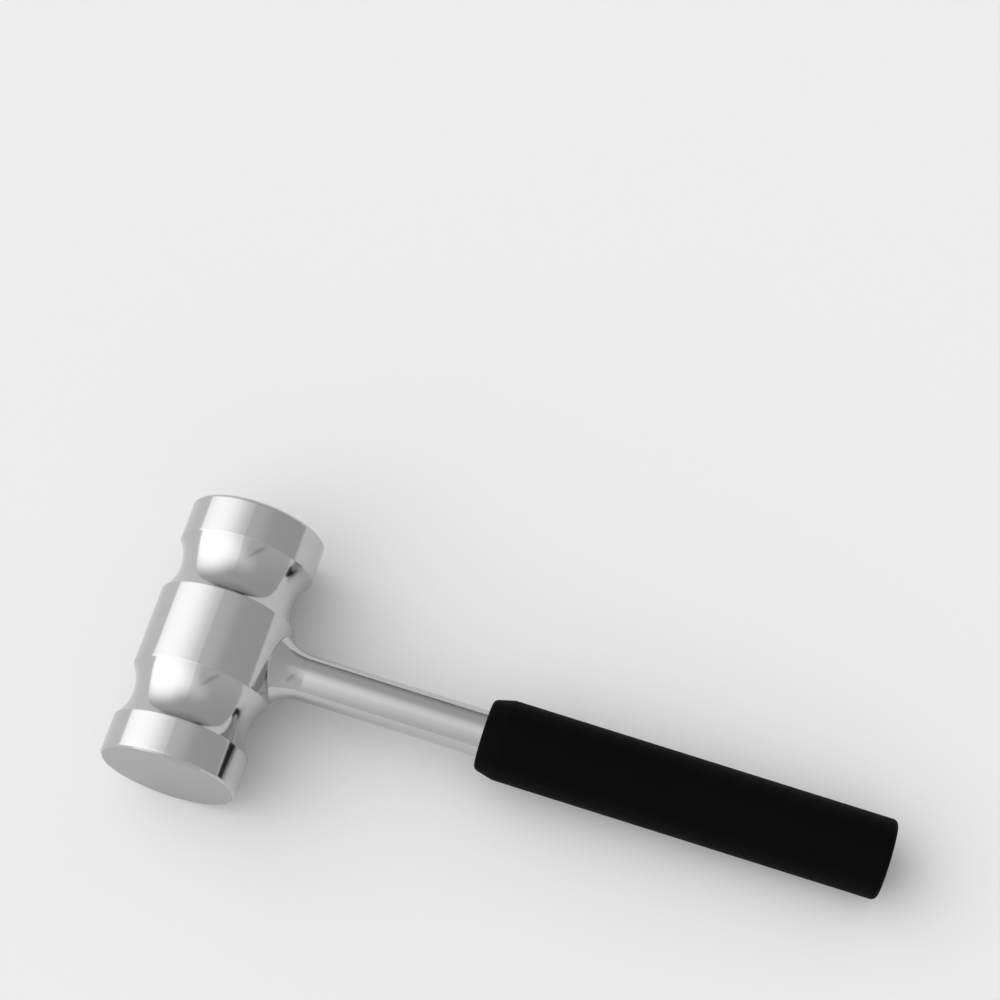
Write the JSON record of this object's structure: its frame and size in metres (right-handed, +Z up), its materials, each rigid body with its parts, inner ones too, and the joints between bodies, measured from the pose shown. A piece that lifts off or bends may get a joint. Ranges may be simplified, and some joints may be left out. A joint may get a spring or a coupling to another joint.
{
  "type": "surgical mallet",
  "caption": "Surgical mallet with a heavy scooped steel head, a steel shank and a black moulded grip, lying on its side.",
  "frame": {"origin": "on the table the mallet lies on, under the middle of its length and width", "axes": "+X from the head towards the grip's free end, +Y along the head's axis, +Z up from the table"},
  "size_m": [0.22, 0.0796, 0.04],
  "materials": {
    "head_steel": "satin",
    "shank_steel": "satin",
    "grip_rubber": "matt"
  },
  "bodies": {
    "root": {"head": "head_steel", "shank": "shank_steel", "grip": "grip_rubber"}
  },
  "joints": []
}
